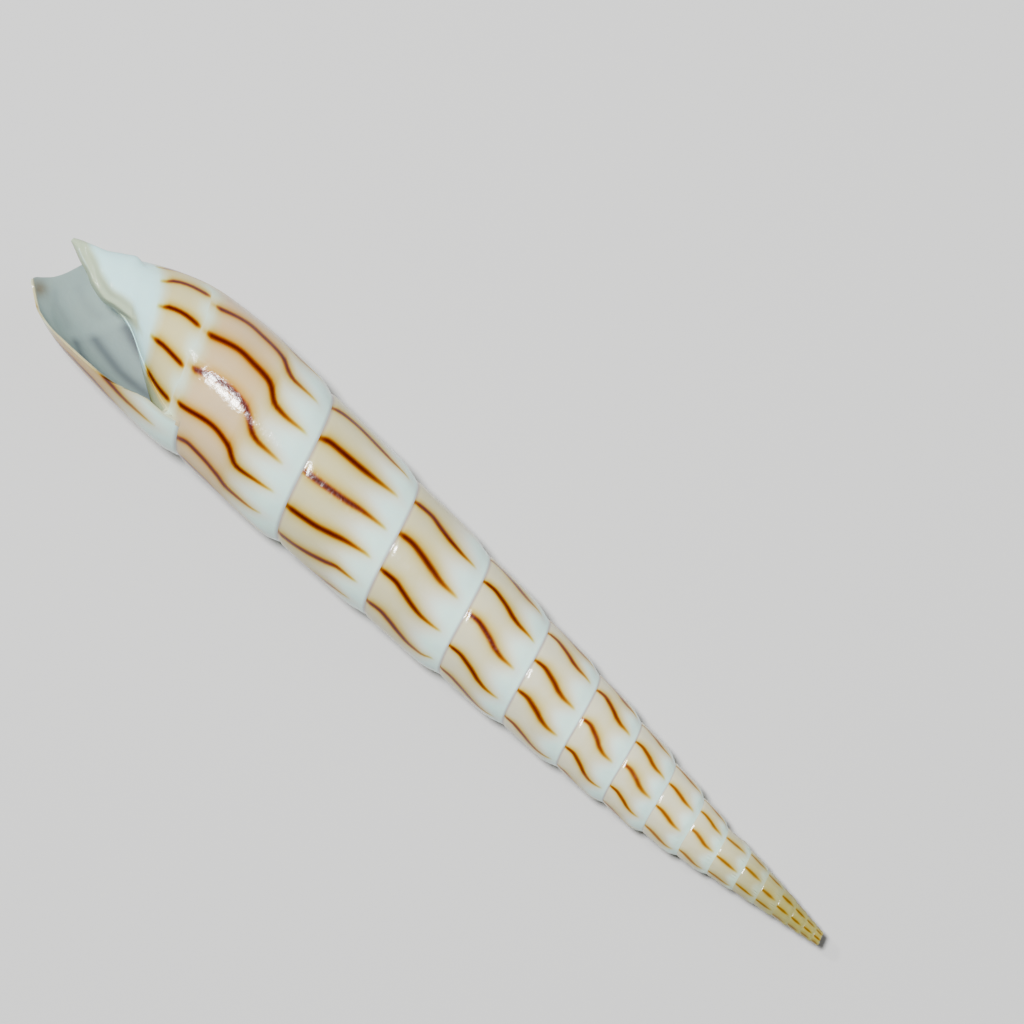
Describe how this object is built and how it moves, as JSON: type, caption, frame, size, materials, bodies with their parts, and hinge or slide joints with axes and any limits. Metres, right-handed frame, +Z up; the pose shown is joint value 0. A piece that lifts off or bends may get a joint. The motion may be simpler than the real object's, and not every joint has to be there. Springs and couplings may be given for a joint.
{
  "type": "lanced auger shell",
  "caption": "Slender spired sea shell with flat whorls, fine shoulder steps, an open narrow aperture and a front notch, lying on its back.",
  "frame": {"origin": "centre of the bounding box's bottom, on the surface that the shell lies on", "axes": "+X towards the tip of the spire, +Z up, out of the aperture, +Y to the columella side"},
  "size_m": [0.055, 0.0086, 0.0083],
  "materials": {
    "shell": "polished natural shell, cream with wavy brown growth lines"
  },
  "bodies": {
    "root": {"shell": "shell"}
  },
  "joints": []
}
